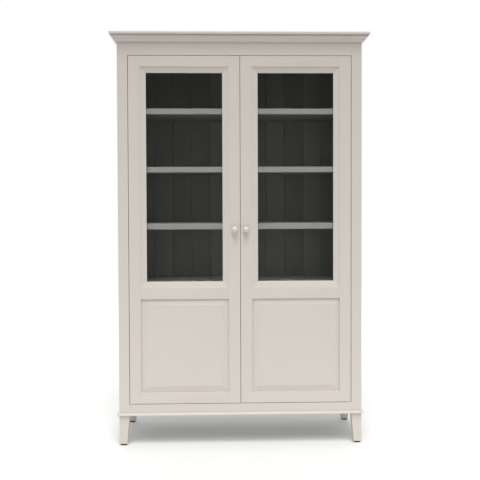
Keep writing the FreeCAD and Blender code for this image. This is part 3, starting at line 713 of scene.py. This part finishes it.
def boards_tree():
    """Boards with chamfered edges side by side, with loose tongues behind their seams."""
    tree, given, out = opened("GeometryNodeTree", "Tongue and groove boards", [
        ("Geometry", "Geometry"), ("Count", "Int"), ("Pitch", "Float"), ("Height", "Float"),
        ("Thickness", "Float"), ("Chamfer", "Float"), ("Rear chamfer", "Float"), ("Seam", "Float"),
        ("Tongue", "Float"), ("Half width", "Float"), ("Base", "Vector"), ("Seed", "Int"),
        ("Show paint", "Material"), ("Rear paint", "Material")], [("Geometry", "Geometry")])
    outline = first(tree, "GeometryNodeCurvePrimitiveQuadrilateral", {
        "Width": maths(tree, "SUBTRACT", given["Pitch"], given["Seam"]), "Height": given["Thickness"]})
    rear = maths(tree, "GREATER_THAN", here(tree)["Y"], 0.0)
    cut = between(tree, rear, given["Chamfer"], given["Rear chamfer"])
    corners = first(tree, "GeometryNodeFilletCurve",
                    {"Curve": outline, "Radius": cut, "Count": 1}, mode="POLY")
    section = first(tree, "GeometryNodeFillCurve", {"Curve": corners}, mode="NGONS")
    board = prism_nodes(tree, section, (0.0, 0.0, 1.0), given["Height"])
    laid = first(tree, "GeometryNodeInstanceOnPoints", {
        "Points": row_nodes(tree, given["Count"], given["Pitch"]), "Instance": board})
    pick = place(tree, "FunctionNodeRandomValue", {
        "ID": first(tree, "GeometryNodeInputIndex"), "Seed": given["Seed"]}).outputs[1]
    toned = first(tree, "GeometryNodeStoreNamedAttribute",
                  {"Geometry": laid, "Name": "board_tone", "Value": pick}, domain="INSTANCE")
    size = combined(tree, X=product(tree, given["Tongue"], 2.0), Y=given["Tongue"], Z=given["Height"])
    raised = first(tree, "GeometryNodeTransform", {
        "Geometry": first(tree, "GeometryNodeMeshCube", {"Size": size}),
        "Translation": combined(tree, Z=product(tree, given["Height"], 0.5))})
    joints = row_nodes(tree, maths(tree, "SUBTRACT", given["Count"], 1), given["Pitch"])
    tongues = first(tree, "GeometryNodeInstanceOnPoints", {"Points": joints, "Instance": raised})
    real = first(tree, "GeometryNodeRealizeInstances", {0: joined(tree, toned, tongues)})
    parts = here(tree)
    within = first(tree, "ShaderNodeClamp", {
        "Value": parts["X"], "Min": product(tree, given["Half width"], -1.0),
        "Max": given["Half width"]})
    moved = first(tree, "GeometryNodeSetPosition", {
        "Geometry": real, "Position": combined(tree, X=within, Y=parts["Y"], Z=parts["Z"]),
        "Offset": given["Base"]})
    rear_side = coated(tree, moved, given["Rear paint"])
    looks = parts_of(tree, first(tree, "GeometryNodeInputNormal"))["Y"]
    show_side = coated(tree, rear_side, given["Show paint"],
                       Selection=maths(tree, "LESS_THAN", looks, -SOME))
    wire(tree, out, {"Geometry": show_side})
    return tree


def moulding_tree():
    """A length of moulding: its section pushed along X, and its ends mitred outwards."""
    tree, given, out = opened("GeometryNodeTree", "Mitred moulding", [
        ("Geometry", "Geometry"), ("Length", "Float"), ("Start mitre", "Float"),
        ("End mitre", "Float"), ("Paint", "Material")], [("Geometry", "Geometry")])
    run = prism_nodes(tree, given["Geometry"], (1.0, 0.0, 0.0), given["Length"])
    parts = here(tree)
    at_end = maths(tree, "GREATER_THAN", parts["X"], product(tree, given["Length"], 0.5))
    stretch = between(tree, at_end, given["Start mitre"], product(tree, given["End mitre"], -1.0))
    shift = combined(tree, X=product(tree, parts["Y"], stretch))
    cut = first(tree, "GeometryNodeSetPosition", {"Geometry": run, "Offset": shift})
    wire(tree, out, {"Geometry": coated(tree, cut, given["Paint"])})
    return tree


# ---- profiles
def arc(one, via, last, steps):
    """Points of the circle through three points, from one to the last."""
    (ax, ay), (bx, by), (cx, cy) = one, via, last
    a, b, c = ax * ax + ay * ay, bx * bx + by * by, cx * cx + cy * cy
    twice = 2 * (ax * (by - cy) + bx * (cy - ay) + cx * (ay - by))
    ux = (a * (by - cy) + b * (cy - ay) + c * (ay - by)) / twice
    uy = (a * (cx - bx) + b * (ax - cx) + c * (bx - ax)) / twice
    start = math.atan2(ay - uy, ax - ux)
    through = (math.atan2(by - uy, bx - ux) - start) % math.tau
    turn = (math.atan2(cy - uy, cx - ux) - start) % math.tau
    if through > turn:
        turn -= math.tau
    radius = math.hypot(ax - ux, ay - uy)
    return [(ux + radius * math.cos(start + turn * step / steps),
             uy + radius * math.sin(start + turn * step / steps)) for step in range(steps + 1)]


def off_chord(start, end, part, swell):
    """A point beside the chord from start to end, at a part of its length."""
    run, rise = end[0] - start[0], end[1] - start[1]
    chord = math.hypot(run, rise)
    return (start[0] + part * run + swell * rise / chord, start[1] + part * rise - swell * run / chord)


def crown_section(projection, height):
    """The crown, as (projection, height) from the body and the crown's foot: an ogee under a step."""
    shape = settings().mouldings
    toe, lip = (shape.toe, shape.toe), (projection, height - shape.rebate)
    middle = off_chord(toe, lip, 0.5, 0)
    lower = arc(toe, off_chord(toe, lip, 0.25, shape.swell), middle, shape.steps)
    upper = arc(middle, off_chord(toe, lip, 0.75, -shape.swell), lip, shape.steps)
    inner = projection - shape.set_back
    top = [(inner, lip[1]), (inner, height), (0, height)]
    return [(0, 0), (shape.toe, 0)] + lower + upper[1:] + top


def base_section(projection, height):
    """The base moulding in the same way: a square edge under a hollow."""
    shape = settings().mouldings
    foot, top = (projection - shape.quirk, shape.edge), (shape.top, height)
    hollow = arc(foot, off_chord(foot, top, 0.5, -shape.hollow), top, shape.steps)
    return [(0, 0), (projection, 0), (projection, shape.edge)] + hollow + [(0, height)]


def section_mesh(points, foot):
    """A section as one face in the plane x = 0, standing on the foot's height."""
    bm = bmesh.new()
    face = bm.faces.new([bm.verts.new((0, -out, foot + up)) for out, up in points])
    bm.normal_update()
    if face.normal.x < 0:
        face.normal_flip()
    return plain_mesh(bm, "section")


def knob_outline(radius, reach, tenon_length):
    """A knob's outline, as (radius, distance out of the door)."""
    shape = settings().knobs
    ring = reach - shape.dome
    ball = (radius ** 2 + shape.dome ** 2) / (2 * shape.dome)
    centre = reach - ball
    half_turn = math.atan2(radius, ring - centre) / 2
    throat = (shape.foot_thick + shape.neck_end) / 2
    under = ((shape.foot + radius) / 2 + shape.swell, (shape.neck_end + ring) / 2 - shape.swell)
    crest = (ball * math.sin(half_turn), centre + ball * math.cos(half_turn))
    low, high = (shape.foot, shape.foot_thick), (shape.foot, shape.neck_end)
    neck = arc(low, (shape.neck, throat), high, steps=10)
    bowl = arc(high, under, (radius, ring), steps=8)
    dome = arc((radius, ring), crest, (0.0, reach), steps=16)
    start = [(0.0, -tenon_length), (shape.tenon, -tenon_length), (shape.tenon, 0.0), (shape.foot, 0.0)]
    return start + neck + bowl[1:] + dome[1:-1] + [(0.0, reach)]


# ---- faces that take the inside paint
def side_inside(centre, normal):
    return abs(centre.x) < SIDE_INSIDE + SLACK and normal.x * centre.x < 0


def rear_post_inside(centre, normal):
    return centre.z > LEG_TOP and (normal.x * centre.x < -SOME or normal.y < -MOST)


def front_post_inside(centre, normal):
    return centre.z > LEG_TOP and normal.y > MOST


# painted shade: the undersides of the shelves take the dark inside paint, standing for the shade under
# them
def underside(centre, normal):
    return normal.z < -MOST


# ---- operators
class BOOKCASE_OT_materials(Operator):
    """Mix the paints and make the glass, metal and plastic"""
    bl_idname = "bookcase.materials"
    bl_label = "Mix the finishes"

    def execute(self, context):
        brushed_group()
        rubbed_group()
        corner_shade_group()
        paint = settings().paint
        satin, smooth, dull = (0.36, 0.50), (0.40, 0.55), (0.42, 0.58)
        for axis in "xyz":
            # the body paint takes the painted corner shade; the door paint is the same paint without it
            for title, corner_shade in (("door_paint", 0.0), ("body_paint", paint.corner_shade)):
                brushed_paint(title, paint.body, axis, satin, paint.rubbed, corner_shade=corner_shade)
            for title, base in (("shelf_paint", paint.shelf), ("fixed_lit_paint", paint.fixed)):
                brushed_paint(title, base, axis, smooth, times(base, 1.15))
            brushed_paint("inside_paint", paint.inside, axis, dull, times(paint.inside, 1.3),
                          by_board=axis == "z")
        knob_paint()
        clear_glass()
        metal("hinge_brass", (0.62, 0.44, 0.18), 0.30, (900.0, 900.0, 40.0))
        metal("plated_steel", (0.56, 0.56, 0.55), 0.28, (700.0, 700.0, 60.0))
        metal("nickel_plate", (0.66, 0.65, 0.62), 0.20, (500.0, 500.0, 500.0))
        moulded("catch_plastic_white", (0.60, 0.58, 0.54), 0.40)
        moulded("glide_plastic_black", (0.030, 0.028, 0.026), 0.45)
        return {"FINISHED"}


class BOOKCASE_OT_carcass(Operator):
    """Ease and paint the posts, sides, rails, fixed boards and cap"""
    bl_idname = "bookcase.carcass"
    bl_label = "Paint the carcass"

    def execute(self, context):
        for side in SIDES:
            dress("corner_post_front_" + side, "body_paint", inside=front_post_inside)
            dress("corner_post_rear_" + side, "body_paint", inside=rear_post_inside)
            dress("side_panel_" + side, "body_paint", inside=side_inside)
        dress("face_rail_bottom", "body_paint")
        dress("face_rail_top", "body_paint")
        dress("top_cap", "body_paint", width=CAP_ARRIS, source=solids_of(self.cap_board()))
        dress("top_board", "inside_paint")
        dress("bottom_board", "inside_paint")
        return {"FINISHED"}

    def cap_board(self):
        """The cap: well rounded above, and crisp below, at the front and both ends."""
        shape = settings().mouldings
        bm = bmesh.new()
        bmesh.ops.create_cube(bm, size=1.0, matrix=Matrix.Translation((CAP_LOW + CAP_HIGH) / 2)
                              @ Matrix.Diagonal(CAP_HIGH - CAP_LOW).to_4x4())
        for height, radius in ((CAP_HIGH.z, shape.cap_round), (CAP_LOW.z, shape.cap_under)):
            level = [edge for edge in bm.edges
                     if all(abs(vertex.co.z - height) < SLACK for vertex in edge.verts)
                     and min(vertex.co.y for vertex in edge.verts) < CAP_HIGH.y - radius]
            bmesh.ops.bevel(bm, geom=level, offset=radius, segments=shape.cap_steps, profile=0.5,
                            affect="EDGES")
        return plain_mesh(bm, "cap_board")


class BOOKCASE_OT_back(Operator):
    """Lay the tongue and groove boards of the back"""
    bl_idname = "bookcase.back"
    bl_label = "Board the back"

    def execute(self, context):
        boards = settings().boards
        size = BOARD_HIGH - BOARD_LOW
        mesh = grown("tongue_and_groove_back", boards_tree(), {
            "Count": boards.count, "Pitch": boards.pitch, "Height": size.z, "Thickness": size.y,
            "Chamfer": boards.chamfer, "Rear chamfer": boards.rear_chamfer, "Seam": boards.seam,
            "Tongue": boards.tongue, "Half width": BOARDS_EDGE, "Seed": boards.seed,
            "Base": Vector((0.0, BOARD_LOW.y + size.y / 2, BOARD_LOW.z)),
            "Show paint": material("inside_paint_z"), "Rear paint": material("body_paint_z")})
        fit(new_object("tongue_and_groove_back", mesh), BOARDS)
        return {"FINISHED"}


class BOOKCASE_OT_mouldings(Operator):
    """Run the crown and the base moulding round the body, with mitred corners"""
    bl_idname = "bookcase.mouldings"
    bl_label = "Run the mouldings"

    def execute(self, context):
        tree = moulding_tree()
        for title, section in (("crown", crown_section), ("base_moulding", base_section)):
            low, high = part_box(title + "_front")
            points = section(FACE - low.y, high.z - low.z)
            for side in ("front",) + SIDES:
                self.run_length(tree, title, side, section_mesh(points, low.z))
        return {"FINISHED"}

    def run_length(self, tree, title, side, section):
        """One length, made along X from the origin and then turned to its side."""
        mesh = grown(title, tree, {
            "Length": 2 * HALF if side == "front" else BACK - FACE, "Paint": material("body_paint_x"),
            "Start mitre": 0.0 if side == "left" else 1.0,
            "End mitre": 0.0 if side == "right" else 1.0}, section)
        turn, x, y = {"front": (0.0, -HALF, FACE), "left": (-90.0, -HALF, BACK),
                      "right": (90.0, HALF, FACE)}[side]
        mesh.transform(Matrix.Translation((x, y, 0)) @ Matrix.Rotation(math.radians(turn), 4, "Z"))
        dress(title + "_" + side, "body_paint", width=0.5 * settings().paint.ease,
              source=solids_of(mesh))


class BOOKCASE_OT_shelves(Operator):
    """Paint the shelves"""
    bl_idname = "bookcase.shelves"
    bl_label = "Fit the shelves"

    def execute(self, context):
        for node in ("shelf_upper", "shelf_middle", "shelf_lower", "fixed_shelf"):
            # painted light: the fixed shelf's lighter paint stands partly for the light that falls on
            # it through the glass
            finish = "fixed_lit_paint" if node == "fixed_shelf" else "shelf_paint"
            # the undersides take the dark inside paint as painted shade
            dress(node, finish, SHELF_ARRIS, underside)
        return {"FINISHED"}


class BOOKCASE_OT_doors(Operator):
    """Ease and paint the frames, glazing frames, beads and panels of both doors"""
    bl_idname = "bookcase.doors"
    bl_label = "Paint the doors"

    def execute(self, context):
        for side in SIDES:
            for part in DOOR_WOOD:
                dress("door_" + side + "_" + part, "door_paint", DOOR_ARRIS)
        return {"FINISHED"}


class BOOKCASE_OT_glass(Operator):
    """Glaze the doors"""
    bl_idname = "bookcase.glass"
    bl_label = "Glaze the doors"

    def execute(self, context):
        for side in SIDES:
            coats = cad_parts["door_" + side + "_glass"].data.materials
            coats.clear()
            coats.append(material("drawn_glass"))
        return {"FINISHED"}


class BOOKCASE_OT_knobs(Operator):
    """Turn the two knobs"""
    bl_idname = "bookcase.knobs"
    bl_label = "Turn the knobs"

    def execute(self, context):
        for side in SIDES:
            node, name = "door_" + side + "_knob", "turned_knob_" + side
            low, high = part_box(node)
            centre = Vector(((low.x + high.x) / 2, FACE, (low.z + high.z) / 2))
            outline = knob_outline((high.x - low.x) / 2, FACE - low.y, high.y - FACE)
            bm = bmesh.new()
            line = [bm.verts.new((centre.x + radius, FACE - out, centre.z)) for radius, out in outline]
            edges = [bm.edges.new(pair) for pair in zip(line, line[1:])]
            bmesh.ops.spin(bm, geom=line + edges, cent=centre, axis=(0, 1, 0), angle=math.tau,
                           steps=settings().knobs.around, use_duplicate=False)
            bmesh.ops.remove_doubles(bm, verts=bm.verts, dist=WELD)
            bmesh.ops.recalc_face_normals(bm, faces=bm.faces)
            mesh = plain_mesh(bm, name)
            crease(mesh, KNOB_CREASE)
            mesh.materials.append(material("knob_gloss"))
            fit(new_object(name, mesh), [node])
        return {"FINISHED"}


class BOOKCASE_OT_fittings(Operator):
    """Finish the pivots, catches, strike plates, shelf pins and glides"""
    bl_idname = "bookcase.fittings"
    bl_label = "Finish the fittings"

    def execute(self, context):
        for side in SIDES:
            dress("door_" + side + "_pivots", "hinge_brass", METAL_ARRIS)
            dress("door_" + side + "_strike_plates", "plated_steel", METAL_ARRIS)
        dress("frame_pivot_plates", "hinge_brass", METAL_ARRIS)
        dress("magnetic_catches", "catch_plastic_white", PLASTIC_ARRIS)
        dress("shelf_pins", "nickel_plate", PIN_ARRIS)
        dress("foot_glides", "glide_plastic_black", PLASTIC_ARRIS)
        return {"FINISHED"}


class BOOKCASE_OT_stage(Operator):
    """Lay the floor, hang the lights and set up the camera"""
    bl_idname = "bookcase.stage"
    bl_label = "Set the stage"

    def execute(self, context):
        scene, stage = context.scene, settings().stage
        self.lay_floor(stage)
        self.light(scene, stage)
        self.hang(scene, "high_softbox", stage.high, stage.high_angle)
        self.hang(scene, "front_softbox", stage.front, stage.front_angle)
        self.look(scene, stage)
        scene.view_settings.view_transform = "Standard"
        return {"FINISHED"}

    def lay_floor(self, stage):
        bm = bmesh.new()
        bmesh.ops.create_circle(bm, cap_ends=True, radius=stage.reach, segments=96)
        mesh = plain_mesh(bm, "paper_floor")
        tree, where, shader, output = blank_material("studio_paper")
        fibres = noise(tree, where, scale=40.0, detail=4.0)
        wire(tree, shader, {"Base Color": speckled(tree, fibres, stage.floor, darkest=0.985),
                            "Roughness": 0.95, "Specular IOR Level": 0.1})
        path = place(tree, "ShaderNodeLightPath").outputs
        seen = maths(tree, "MAXIMUM", path["Is Camera Ray"],
                     maths(tree, "MAXIMUM", path["Is Glossy Ray"], path["Is Transmission Ray"]))
        glow = first(tree, "ShaderNodeEmission", {
            "Color": WHITE, "Strength": product(tree, seen, stage.lift)})
        wire(tree, output, {
            "Surface": first(tree, "ShaderNodeAddShader", {0: shader.outputs[0], 1: glow})})
        mesh.materials.append(material("studio_paper"))
        new_object("paper_floor", mesh)

    def light(self, scene, stage):
        """A pale dome. What looks straight into it sees white, but the panes mirror a dim room."""
        world = bpy.data.worlds.new("studio")
        world.use_nodes = True
        tree = world.node_tree
        tree.nodes.clear()
        way = place(tree, "ShaderNodeTexCoord").outputs["Generated"]
        _, back, up = parts_of(tree, way)
        front = product(tree, back, -1.0)
        dome = product(tree, up, stage.above)
        for part, level in ((back, stage.behind), (front, stage.before)):
            dome = maths(tree, "MULTIPLY_ADD", maths(tree, "MAXIMUM", part, 0.0), level, dome)
        dome = product(tree, dome, maths(tree, "GREATER_THAN", up, 0.0))
        mirrored = first(tree, "ShaderNodeMapRange", {
            "Value": front, "From Min": 0.6, "From Max": 0.8, "To Min": 1.0, "To Max": stage.gloom})
        path = place(tree, "ShaderNodeLightPath").outputs
        has_mirrored = maths(tree, "GREATER_THAN", path["Glossy Depth"], 0.5)
        shown = between(tree, has_mirrored, 1.0, mirrored)
        shows = maths(tree, "MAXIMUM", path["Is Glossy Ray"], path["Is Transmission Ray"])
        shows = product(tree, shows, maths(tree, "LESS_THAN", path["Diffuse Depth"], 0.5))
        strength = between(tree, path["Is Camera Ray"], between(tree, shows, dome, shown), 1.0)
        sky = first(tree, "ShaderNodeBackground", {"Color": WHITE, "Strength": strength})
        place(tree, "ShaderNodeOutputWorld", {"Surface": sky})
        scene.world = world

    def hang(self, scene, name, energy, elevation):
        """A large soft light far in front of the doors."""
        lamp = bpy.data.lights.new(name, "SUN")
        lamp.energy = energy
        lamp.angle = settings().stage.softness
        thing = bpy.data.objects.new(name, lamp)
        thing.rotation_euler = (math.radians(90) - elevation, 0.0, 0.0)
        scene.collection.objects.link(thing)

    def look(self, scene, stage):
        lens = bpy.data.cameras.new("eye")
        lens.lens = stage.lens
        lens.sensor_width = 36.0
        lens.shift_y = stage.rise
        lens.clip_end = 200.0
        camera = bpy.data.objects.new("eye", lens)
        scene.collection.objects.link(camera)
        turn = (Matrix.Rotation(-stage.yaw, 4, "Z") @ Matrix.Rotation(math.pi / 2 - stage.pitch, 4, "X")
                @ Matrix.Rotation(-stage.roll, 4, "Z"))
        camera.matrix_world = Matrix.Translation(stage.eye) @ turn
        scene.camera = camera


STEPS = (BOOKCASE_OT_materials, BOOKCASE_OT_carcass, BOOKCASE_OT_back, BOOKCASE_OT_mouldings,
         BOOKCASE_OT_shelves, BOOKCASE_OT_doors, BOOKCASE_OT_glass, BOOKCASE_OT_knobs,
         BOOKCASE_OT_fittings, BOOKCASE_OT_stage)


class BOOKCASE_PT_panel(Panel):
    """Buttons for every step and the settings that they read"""
    bl_idname = "BOOKCASE_PT_panel"
    bl_label = "Bookcase"
    bl_space_type = "VIEW_3D"
    bl_region_type = "UI"
    bl_category = "Bookcase"

    def draw(self, context):
        for step in STEPS:
            self.layout.operator(step.bl_idname)
        for title in ("paint", "boards", "mouldings", "knobs", "glass", "stage"):
            part = getattr(context.scene.bookcase, title)
            box = self.layout.box()
            box.label(text=title.capitalize())
            for key in part.__annotations__:
                box.prop(part, key)


GROUPS = (PaintSettings, BoardSettings, MouldingSettings, KnobSettings, GlassSettings, StageSettings,
          BookcaseSettings)


def register():
    for made in GROUPS + STEPS + (BOOKCASE_PT_panel,):
        bpy.utils.register_class(made)
    bpy.types.Scene.bookcase = PointerProperty(type=BookcaseSettings)


def unregister():
    del bpy.types.Scene.bookcase
    for made in reversed(GROUPS + STEPS + (BOOKCASE_PT_panel,)):
        bpy.utils.unregister_class(made)


def main():
    register()
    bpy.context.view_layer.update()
    for step in STEPS:
        getattr(bpy.ops.bookcase, step.bl_idname.split(".")[1])()


if __name__ == "__main__":
    main()
